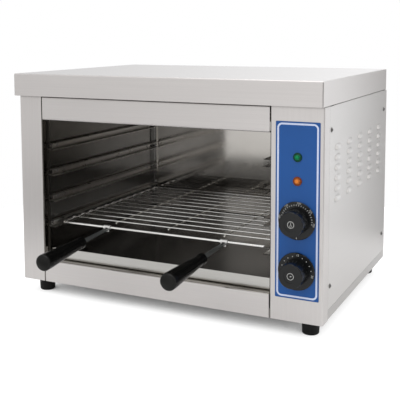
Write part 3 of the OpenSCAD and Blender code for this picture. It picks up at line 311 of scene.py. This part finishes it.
# The posts are brushed upwards. Their returns into the mouth are painted dark, as painted shade and a
# painted dark reflection of the mouth.
mouth_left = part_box("left_post")[1][0]
mouth_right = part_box("control_post")[0][0]
left_post_steel = stainless("brushed_stainless_left_post", 2)
paint_light_and_shade(left_post_steel, "X", mouth_left - 2.4 * MM, mouth_left - 1.4 * MM)
dress(left_post_steel, "left_post")
control_post_steel = stainless("brushed_stainless_control_post", 2)
paint_light_and_shade(control_post_steel, "X", mouth_right + 2.4 * MM, mouth_right + 1.4 * MM)
dress(control_post_steel, "control_post")
# The sill is brushed across: its top edge is coloured a dull grey line, and the painted shade in its
# folds is lighter
sill_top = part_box("bottom_fascia")[1][2]
sill_steel = stainless("brushed_stainless_sill", 0, fold_shade="#8f8c88")
paint_light_and_shade(sill_steel, "Z", sill_top - 2.4 * MM, sill_top - 1.0 * MM, "#a5a19c")
dress(sill_steel, "bottom_fascia")

# ---------------------------------------------------------------------------
# Chamber
# Liners, floor and runners are bright-rolled stainless, almost a mirror where clean
# and straw brown where the heat has tinted it. The runners are folded channels
# riveted to the side liners, and the liners are screwed together in the rear corners.
# ---------------------------------------------------------------------------


def rolled_sheet(name, face, straw, rough):
    """Bright-rolled stainless with broad patches of heat tint and a faint film of grease."""
    made = bpy.data.materials.new(name)
    made.use_nodes = True
    tree = made.node_tree
    shader = tree.nodes["Principled BSDF"]
    shader.inputs["Metallic"].default_value = 1.0
    where = add(tree, "ShaderNodeTexCoord")
    patches = add(tree, "ShaderNodeTexNoise", {"Scale": 4.0, "Detail": 2.0},
                  {"Vector": where.outputs["Object"]})
    smears = add(tree, "ShaderNodeTexNoise", {"Scale": 40.0, "Detail": 3.0},
                 {"Vector": where.outputs["Object"]})
    tint = add(tree, "ShaderNodeValToRGB", None, {"Fac": patches.outputs["Fac"]},
               stops=[(0.35, linear(face)), (0.7, linear(straw))])
    tree.links.new(tint.outputs["Color"], shader.inputs["Base Color"])
    gloss = add(tree, "ShaderNodeMapRange", {"To Min": rough * 0.7, "To Max": rough * 1.3},
                {"Value": smears.outputs["Fac"]})
    tree.links.new(gloss.outputs["Result"], shader.inputs["Roughness"])
    return made


# The back and the ceiling are cleanest: they mirror the room and the rack with soft edges
dress(rolled_sheet("bright_rolled_stainless", "#c2bfbb", "#b0aca6", 0.10),
      "back_liner", "ceiling_liner", "chamber_floor")
# The side liners are duller than the back. They are painted darker towards the mouth, as painted shade,
# with a darker painted line of shade along the front edge
liner_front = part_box("left_liner")[0][1]
side_sheet = rolled_sheet("liner_stainless_painted_shade", "#a09e9c", "#918f8c", 0.17)
paint_light_and_shade(side_sheet, "Y", liner_front + 150 * MM, liner_front, "#858380", 0.2)
paint_light_and_shade(side_sheet, "Y", liner_front + 4 * MM, liner_front + 1.5 * MM, "#5b5955", 0.35)
dress(side_sheet, "left_liner", "right_liner")
# The runners are paler and duller than the liners: pale bands, each with painted shade at its open front
# end
runner_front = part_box("runner_left_1")[0][1]
runner_sheet = rolled_sheet("folded_runner_stainless", "#d4d1cd", "#c6c2bc", 0.30)
paint_light_and_shade(runner_sheet, "Y", runner_front + 1.6 * MM, runner_front + 0.4 * MM, "#2f2d2a")
for side in ("left", "right"):
    dress(runner_sheet, *[f"runner_{side}_{level}" for level in range(1, 5)])

# ---------------------------------------------------------------------------
# Crumb tray
# A folded stainless pan that lifts out for washing. Its colour is painted bright along its front edge,
# nearly black over the floor as a painted dark reflection of the chamber, and paler at the rear.
# ---------------------------------------------------------------------------

# Washed steel has a soft grey sheen. Behind its bright front edge it is painted nearly black, a painted
# dark reflection of the chamber, and its rear is painted paler, brightening its reflection of the rack
# upside down; the painted shade in its folds is faint
tray_front, tray_back = (corner[1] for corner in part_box("crumb_tray"))
washed = stainless("washed_stainless", 0, face="#c2c0bc", rough=0.25, grain=0.04, fold_shade="#c2c0bc")
paint_light_and_shade(washed, "Y", tray_front + 1.3 * MM, tray_front + 2.6 * MM, "#6c6a68", 0.2)
paint_light_and_shade(washed, "Y", tray_back - 170 * MM, tray_back - 70 * MM, "#aeaca9", 0.10)
dress(washed, "crumb_tray")

# ---------------------------------------------------------------------------
# Heating elements
# Hairpin tubes sheathed in a nickel alloy that has turned dull and dark, in turned
# brass fittings, with glazed ceramic beads on their studs.
# ---------------------------------------------------------------------------


def coated(name, colour, rough, metallic=0.0, specular=0.5, mottle=0.06, mottle_mm=6.0, relief_mm=0.0):
    """A plain solid finish with slight mottling at a real size, and relief if it has any."""
    made = bpy.data.materials.new(name)
    made.use_nodes = True
    tree = made.node_tree
    shader = tree.nodes["Principled BSDF"]
    shader.inputs["Metallic"].default_value = metallic
    shader.inputs["Specular IOR Level"].default_value = specular
    where = add(tree, "ShaderNodeTexCoord")
    spots = add(tree, "ShaderNodeTexNoise", {"Scale": 1000 / mottle_mm, "Detail": 3.0},
                {"Vector": where.outputs["Object"]})
    base = linear(colour)
    dark = tuple(c * (1 - mottle) for c in base[:3]) + (1.0,)
    light = tuple(min(1.0, c * (1 + mottle)) for c in base[:3]) + (1.0,)
    tint = add(tree, "ShaderNodeValToRGB", None, {"Fac": spots.outputs["Fac"]},
               stops=[(0.3, dark), (0.7, light)])
    tree.links.new(tint.outputs["Color"], shader.inputs["Base Color"])
    gloss = add(tree, "ShaderNodeMapRange", {"To Min": rough * 0.9, "To Max": rough * 1.1},
                {"Value": spots.outputs["Fac"]})
    tree.links.new(gloss.outputs["Result"], shader.inputs["Roughness"])
    if relief_mm:
        grain = add(tree, "ShaderNodeBump", {"Strength": 0.3, "Distance": relief_mm * MM},
                    {"Height": spots.outputs["Fac"]})
        tree.links.new(grain.outputs["Normal"], shader.inputs["Normal"])
    return made


# The sheath is scaled by use, a dull brown-grey without clear reflections
dress(coated("oxidised_nickel_alloy", "#5b544d", 0.45, metallic=0.8), "element_front", "element_rear")
# Brass and copper keep a warm, soft shine
dress(coated("turned_brass", "#b8985a", 0.3, metallic=1.0), "element_fittings")
dress(coated("drawn_copper", "#b07a58", 0.32, metallic=1.0), "thermostat_bulb", "capillary_tube")
# Glazed ceramic is creamy white with a clear gloss
dress(coated("glazed_steatite", "#e6e2d8", 0.3), "element_terminals", "thermostat_body", "terminal_block")
# The hangers are cut from the chamber's sheet, and are duller than its walls
dress(rolled_sheet("hanger_stainless", "#bebbb6", "#afaaa4", 0.30), "element_hangers")

# ---------------------------------------------------------------------------
# Rack
# Spot-welded steel wire, bright plated: a 5 mm frame, thin cross wires and three
# support wires underneath. Its handles' clips are folded from plated strip and
# hooked over the front wire.
# ---------------------------------------------------------------------------

# Bright plate: each wire shows one thin white line along its top
dress(coated("bright_plated_wire", "#f3f2ef", 0.16, metallic=0.95, mottle=0.04, mottle_mm=9),
      "rack_frame", "rack_cross_wires")
# The wires underneath catch the smoke and are a little yellower and duller
dress(coated("smoked_plated_wire", "#e0ddd6", 0.2, metallic=0.9, mottle_mm=9), "rack_support_wires")
# The strip is white where it hooks over the wire, with painted shade that turns its folds black and a
# painted dark reflection that makes the shank grey
hook_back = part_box("handle_clip_left")[1][1]
plated_strip = coated("bright_plated_strip", "#efeeeb", 0.34, metallic=0.7, mottle=0.04, mottle_mm=9)
painted_fold_shade(plated_strip, 9, "#2f2e2d", enclosed=0.62)
paint_light_and_shade(plated_strip, "Y", hook_back - 9 * MM, hook_back - 13 * MM, "#878a89", 0.3)
dress(plated_strip, "handle_clip_left", "handle_clip_right")

# ---------------------------------------------------------------------------
# Grips
# Tapered mouldings of black phenolic, pressed on the shanks, smooth from the mould
# and slightly polished by hands.
# ---------------------------------------------------------------------------

# Deep black with a narrow highlight along the top; the end is painted greyer, as a painted highlight
grip_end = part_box("grip_left")[0][1]
phenolic = coated("black_phenolic", "#0a0a0a", 0.20, specular=0.12, mottle=0.15, mottle_mm=3)
paint_light_and_shade(phenolic, "Y", grip_end + 9 * MM, grip_end + 2 * MM, "#1d1d1c", 0.3)
dress(phenolic, "grip_left", "grip_right")

# ---------------------------------------------------------------------------
# Feet and fixings
# Moulded rubber feet, each held by a screw and a nut through the base pan. Screws,
# nuts and rivets are zinc plated steel, and the cable gland and the lamps' holders
# are moulded nylon.
# ---------------------------------------------------------------------------

# Rubber: a matt black without a highlight
dress(coated("black_rubber", "#0a0a0a", 0.6, specular=0.25, mottle=0.2, mottle_mm=2, relief_mm=0.05),
      "foot_front_left", "foot_front_right", "foot_rear_left", "foot_rear_right")
# Zinc plate: pale grey with a soft shine
dress(coated("zinc_plate", "#a9a9a8", 0.34, metallic=1.0, mottle=0.08, mottle_mm=2),
      "foot_screws", "back_panel_screws", "bush_nuts", "timer_body", "thermostat_shaft", "timer_shaft",
      "runner_rivets", "liner_screws")
# The covers' screws have dulled and stand out darker than the sheet
dress(coated("dulled_steel_screws", "#787674", 0.3, metallic=1.0, mottle=0.08, mottle_mm=2),
      "side_cover_screws")
# Nylon: charcoal with the fine spark texture of its mould
dress(coated("black_nylon", "#202021", 0.5, relief_mm=0.03), "cable_gland", "gland_nut", "lamp_holders")
# Steel in the shade of a recess or an open seam: nearly black
shaded_steel = coated("shaded_screw_recess", "#161514", 0.5, metallic=0.6, mottle=0.1, mottle_mm=1)


def finish_piece(name, bm, material, body):
    """Turns a bmesh made in the row frame into a piece that rides on a body."""
    mesh = bpy.data.meshes.new(name)
    bm.to_mesh(mesh)
    bm.free()
    mesh.materials.append(material)
    piece = bpy.data.objects.new(name, mesh)
    bpy.context.scene.collection.objects.link(piece)
    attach(piece, body)


def plate(bm, wide, tall, thick, stand):
    """Adds a thin plate with its back on the XY plane, then moves it by the matrix stand."""
    flat = bmesh.ops.create_grid(bm, x_segments=1, y_segments=1, size=0.5)["verts"]
    bmesh.ops.scale(bm, vec=(wide, tall, 1), verts=flat)
    face = list({face for vert in flat for face in vert.link_faces})
    raised = bmesh.ops.extrude_face_region(bm, geom=face)
    lifted = [item for item in raised["geom"] if isinstance(item, bmesh.types.BMVert)]
    bmesh.ops.translate(bm, vec=(0, 0, thick), verts=lifted)
    bmesh.ops.transform(bm, matrix=stand, verts=flat + lifted)


# Each side cover is held at its corners, by screws with a small cross recess, drawn as crossed near-black
# plates of painted shade
SCREW_HEAD = 3.8 * MM
ARM_LONG = 4.2 * MM
ARM_WIDE = 1.1 * MM
ARM_THICK = 0.3 * MM
ARM_SUNK = 0.25 * MM
bm = bmesh.new()
screw_low, screw_high = (Vector(corner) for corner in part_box("side_cover_screws"))
for side, x in ((-1, screw_low.x), (1, screw_high.x)):
    outward = Matrix.Rotation(side * math.pi / 2, 4, "Y")
    for y in (screw_low.y + SCREW_HEAD, screw_high.y - SCREW_HEAD):
        for z in (screw_low.z + SCREW_HEAD, screw_high.z - SCREW_HEAD):
            for turned in (25, 115):
                at = Matrix.Translation((x - side * ARM_SUNK, y, z))
                arm = Matrix.Rotation(math.radians(turned), 4, "Z")
                plate(bm, ARM_LONG, ARM_WIDE, ARM_THICK, at @ outward @ arm)
bmesh.ops.recalc_face_normals(bm, faces=bm.faces)
finish_piece("cover_screw_recesses", bm, shaded_steel, "casing")

# The lid's skirts meet in a fine open seam on the bend of each front corner, drawn as a near-black strip
# of painted shade
CORNER_BEND = 0.79 * MM
SEAM_WIDE = 0.45 * MM
SEAM_THICK = 0.04 * MM
SEAM_SHORT = 5 * MM
SEAM_DROP = 0.6 * MM
bm = bmesh.new()
lid_low, lid_high = (Vector(corner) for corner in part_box("top_lid"))
for side, x in ((-1, lid_low.x + CORNER_BEND), (1, lid_high.x - CORNER_BEND)):
    at = Vector((x, lid_low.y + CORNER_BEND, (lid_low.z + lid_high.z) / 2 - SEAM_DROP))
    diagonal = Matrix.Rotation(side * math.pi / 4, 4, "Z")
    plate(bm, SEAM_WIDE, lid_high.z - lid_low.z - SEAM_SHORT, SEAM_THICK,
          Matrix.Translation(at) @ diagonal @ upright)
bmesh.ops.recalc_face_normals(bm, faces=bm.faces)
finish_piece("lid_corner_seams", bm, shaded_steel, "casing")

# ---------------------------------------------------------------------------
# Control label
# A blue polyester film with an adhesive back, stuck on the right-hand post and
# screen printed with a pale frame line.
# ---------------------------------------------------------------------------

# The film is a full blue with a faint veil of gloss, and its ink a flat, bluish white
dress(coated("blue_polyester_film", "#18539a", 0.34, specular=0.3, mottle=0.02, mottle_mm=20),
      "control_label")
ink = coated("pale_screen_ink", "#d3dcf4", 0.4, mottle=0.02)
INK_THICK = 0.06 * MM
label_low, label_high = (Vector(corner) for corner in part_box("control_label"))


def frame_line(inset, line, radius):
    """A bmesh of a printed line of that width, that far inside the label's edge, with rounded corners."""
    bm = bmesh.new()
    bmesh.ops.create_grid(bm, x_segments=1, y_segments=1, size=0.5)
    wide = label_high.x - label_low.x - 2 * inset
    tall = label_high.z - label_low.z - 2 * inset
    bmesh.ops.scale(bm, vec=(wide, tall, 1), verts=bm.verts)
    bmesh.ops.bevel(bm, geom=list(bm.verts), offset=radius, segments=10, profile=0.5, affect="VERTICES",
                    material=-1)
    inset_faces = bmesh.ops.inset_region(bm, faces=list(bm.faces), thickness=line, use_boundary=True,
                                         use_even_offset=True)
    border = set(inset_faces["faces"])
    bmesh.ops.delete(bm, geom=[face for face in bm.faces if face not in border], context="FACES")
    top = bmesh.ops.extrude_face_region(bm, geom=list(bm.faces))
    lifted = [item for item in top["geom"] if isinstance(item, bmesh.types.BMVert)]
    bmesh.ops.translate(bm, vec=(0, 0, INK_THICK), verts=lifted)
    bmesh.ops.recalc_face_normals(bm, faces=bm.faces)
    centre = (label_low + label_high) / 2
    stand = Matrix.Translation((centre.x, label_low.y, centre.z)) @ upright
    bmesh.ops.transform(bm, matrix=stand, verts=bm.verts)
    return bm


finish_piece("label_frame_line", frame_line(inset=2.4 * MM, line=3.0 * MM, radius=8.5 * MM), ink,
             "casing")

# ---------------------------------------------------------------------------
# Lamps
# Neon indicators: a domed lens of tinted polycarbonate snapped on the barrel. The light inside the lens
# is painted into its colour: a glow at the middle, darkest at its rim and broken up by its flutes.
# ---------------------------------------------------------------------------


def lens_plastic(name, bright, rim, lens):
    """Tinted polycarbonate with a painted glow: bright at the middle of the lens and darker towards its
    rim, broken up by prisms 1.7 mm across."""
    made = coated(name, bright, 0.10, specular=0.2, mottle_mm=2)
    tree = made.node_tree
    shader = tree.nodes["Principled BSDF"]
    tree.nodes.remove(shader.inputs["Base Color"].links[0].from_node)
    low, high = (Vector(corner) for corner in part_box(lens))
    middle = (low + high) / 2
    where = add(tree, "ShaderNodeTexCoord")
    centred = add(tree, "ShaderNodeMapping",
                  {"Location": (-middle.x, 0.0, -middle.z), "Scale": (1.0, 0.0, 1.0)},
                  {"Vector": where.outputs["Object"]})
    out = add(tree, "ShaderNodeVectorMath", None, {0: centred.outputs["Vector"]}, operation="LENGTH")
    share = add(tree, "ShaderNodeMapRange", {"From Max": (high.x - low.x) / 2},
                {"Value": out.outputs["Value"]})
    prisms = add(tree, "ShaderNodeTexVoronoi", {"Scale": 1000 / 1.7}, {"Vector": where.outputs["Object"]})
    broken = add(tree, "ShaderNodeMath", {1: 0.5, 2: -0.22}, {0: prisms.outputs["Distance"]},
                 operation="MULTIPLY_ADD")
    # The painted glow fades from the lens's middle towards its rim, broken up by the prisms
    thickness = add(tree, "ShaderNodeMath", None,
                    {0: share.outputs["Result"], 1: broken.outputs["Value"]}, operation="ADD")
    painted_glow = add(tree, "ShaderNodeValToRGB", None, {"Fac": thickness.outputs["Value"]},
                stops=[(0.25, linear(bright)), (0.78, linear(rim)), (1.0, linear(rim))])
    tree.links.new(painted_glow.outputs["Color"], shader.inputs["Base Color"])
    facets = add(tree, "ShaderNodeBump", {"Strength": 0.35, "Distance": 0.4 * MM},
                 {"Height": prisms.outputs["Distance"]})
    tree.links.new(facets.outputs["Normal"], shader.inputs["Normal"])
    return made


# Clear colours that look lit from inside: green with a nearly black rim, amber with a brown one
dress(lens_plastic("green_polycarbonate", "#00864f", "#003a28", "green_lens"), "green_lens")
dress(lens_plastic("amber_polycarbonate", "#ec8630", "#77360f", "amber_lens"), "amber_lens")

# ---------------------------------------------------------------------------
# Dials
# Black urea mouldings pressed on the shafts. The graduations on each skirt and the
# small symbol on the cap are pad printed in grey-white ink.
# ---------------------------------------------------------------------------

# Urea is black under a thin grey sheen, with the faint grain of its mould. The ink is a flat grey
urea = coated("satin_black_urea", "#0b0c0d", 0.22, specular=0.36, mottle=0.1, mottle_mm=1.5,
              relief_mm=0.02)
dress(urea, "thermostat_dial", "timer_dial")
pad_print = coated("grey_pad_print", "#b6b6b3", 0.5, mottle_mm=1)
# The skirts' faces stand this proud of the label, and the caps' faces are sunk this deep
SKIRT_PROUD = 3.45 * MM
CAP_DEEP = 0.6 * MM


def on_dial(dial, radius, clockwise, proud):
    """Where a print lies on a dial: at a radius, an angle from the top, and proud of the label."""
    low, high = (Vector(corner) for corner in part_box(dial))
    angle = math.radians(clockwise)
    centre = (low + high) / 2
    x = centre.x + radius * math.sin(angle)
    z = centre.z + radius * math.cos(angle)
    return Matrix.Translation((x, label_low.y - proud, z)) @ upright @ Matrix.Rotation(-angle, 4, "Z")


def numeral(bm, text, tall, stand):
    """Adds a printed number, moved by the matrix stand. The font's size is 1.4 times a digit's height."""
    curve = bpy.data.curves.new("numeral", "FONT")
    curve.body = text
    curve.size = tall * 1.4
    curve.align_x = "CENTER"
    curve.align_y = "CENTER"
    curve.extrude = INK_THICK / 2
    holder = bpy.data.objects.new("numeral", curve)
    bpy.context.scene.collection.objects.link(holder)
    outline = bpy.data.meshes.new_from_object(holder)
    before = set(bm.verts)
    bm.from_mesh(outline)
    fresh = [vert for vert in bm.verts if vert not in before]
    bmesh.ops.transform(bm, matrix=stand @ Matrix.Translation((0, 0, INK_THICK / 2)), verts=fresh)
    bpy.data.objects.remove(holder)
    bpy.data.curves.remove(curve)
    bpy.data.meshes.remove(outline)


def dot(bm, radius, stand):
    """Adds a printed dot, moved by the matrix stand."""
    flat = bmesh.ops.create_circle(bm, cap_ends=True, segments=16, radius=radius)["verts"]
    face = list({face for vert in flat for face in vert.link_faces})
    raised = bmesh.ops.extrude_face_region(bm, geom=face)
    lifted = [item for item in raised["geom"] if isinstance(item, bmesh.types.BMVert)]
    bmesh.ops.translate(bm, vec=(0, 0, INK_THICK), verts=lifted)
    bmesh.ops.transform(bm, matrix=stand, verts=flat + lifted)


def printed_ring(bm, radius, line, stand):
    """Adds a printed ring of that line width, moved by the matrix stand."""
    flat = bmesh.ops.create_circle(bm, cap_ends=True, segments=40, radius=radius + line / 2)["verts"]
    disc = list({face for vert in flat for face in vert.link_faces})
    edge = bmesh.ops.inset_region(bm, faces=disc, thickness=line, use_boundary=True,
                                  use_even_offset=True)["faces"]
    bmesh.ops.delete(bm, geom=disc, context="FACES")
    raised = bmesh.ops.extrude_face_region(bm, geom=edge)
    lifted = [item for item in raised["geom"] if isinstance(item, bmesh.types.BMVert)]
    bmesh.ops.translate(bm, vec=(0, 0, INK_THICK), verts=lifted)
    ring = {vert for face in edge if face.is_valid for vert in face.verts} | set(flat) | set(lifted)
    bmesh.ops.transform(bm, matrix=stand, verts=[vert for vert in ring if vert.is_valid])


def cap_face(dial):
    """How far the recessed face of a dial's cap stands proud of the label."""
    return label_low.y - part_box(dial)[0][1] - CAP_DEEP


# Thermostat: a number every 50 degrees, fine ticks from the second number to the last, two marks at
# the foot for the ends of the range, and a thermometer in a ring on the cap
NUMBER_RADIUS = 29.3 * MM
TICK_RADIUS = 26.0 * MM
MARK_RADIUS = 28.4 * MM
CAP_RING = 5.3 * MM
CAP_LINE = 0.9 * MM
bm = bmesh.new()
for step in range(6):
    numeral(bm, str(50 + 50 * step), 3.3 * MM,
            on_dial("thermostat_dial", NUMBER_RADIUS, -127 + 45 * step, SKIRT_PROUD))
for step in range(21):
    plate(bm, 1.0 * MM, 2.4 * MM, INK_THICK,
          on_dial("thermostat_dial", TICK_RADIUS, -82 + 9 * step, SKIRT_PROUD))
for clockwise in (180, -157.5):
    plate(bm, 1.2 * MM, 2.8 * MM, INK_THICK,
          on_dial("thermostat_dial", MARK_RADIUS, clockwise, SKIRT_PROUD))
cap = cap_face("thermostat_dial")
printed_ring(bm, CAP_RING, CAP_LINE, on_dial("thermostat_dial", 0, 0, cap))
printed_ring(bm, 1.5 * MM, 0.6 * MM, on_dial("thermostat_dial", 1.9 * MM, 180, cap))
plate(bm, 0.9 * MM, 4.4 * MM, INK_THICK, on_dial("thermostat_dial", 1.7 * MM, 0, cap))
bmesh.ops.recalc_face_normals(bm, faces=bm.faces)
finish_piece("thermostat_print", bm, pad_print, "thermostat_knob")

# Timer: a dot for each division but the two that have a number, and a clock hand in the cap's ring
DOT_RADIUS = 25.6 * MM
MINUTES_RADIUS = 27.5 * MM
FIRST_NUMBER, DIVISION = 5, 19
bm = bmesh.new()
for step in range(-4, 6):
    clockwise = FIRST_NUMBER + DIVISION * step
    if step == 0:
        numeral(bm, "15", 3.8 * MM, on_dial("timer_dial", MINUTES_RADIUS, clockwise, SKIRT_PROUD))
    elif step == 5:
        numeral(bm, "30", 3.8 * MM, on_dial("timer_dial", MINUTES_RADIUS, clockwise, SKIRT_PROUD))
    else:
        dot(bm, 0.85 * MM, on_dial("timer_dial", DOT_RADIUS, clockwise, SKIRT_PROUD))
cap = cap_face("timer_dial")
printed_ring(bm, CAP_RING, CAP_LINE, on_dial("timer_dial", 0, 0, cap))
plate(bm, 1.4 * MM, 3.0 * MM, INK_THICK, on_dial("timer_dial", 0.6 * MM, 70, cap))
bmesh.ops.recalc_face_normals(bm, faces=bm.faces)
finish_piece("timer_print", bm, pad_print, "timer_knob")
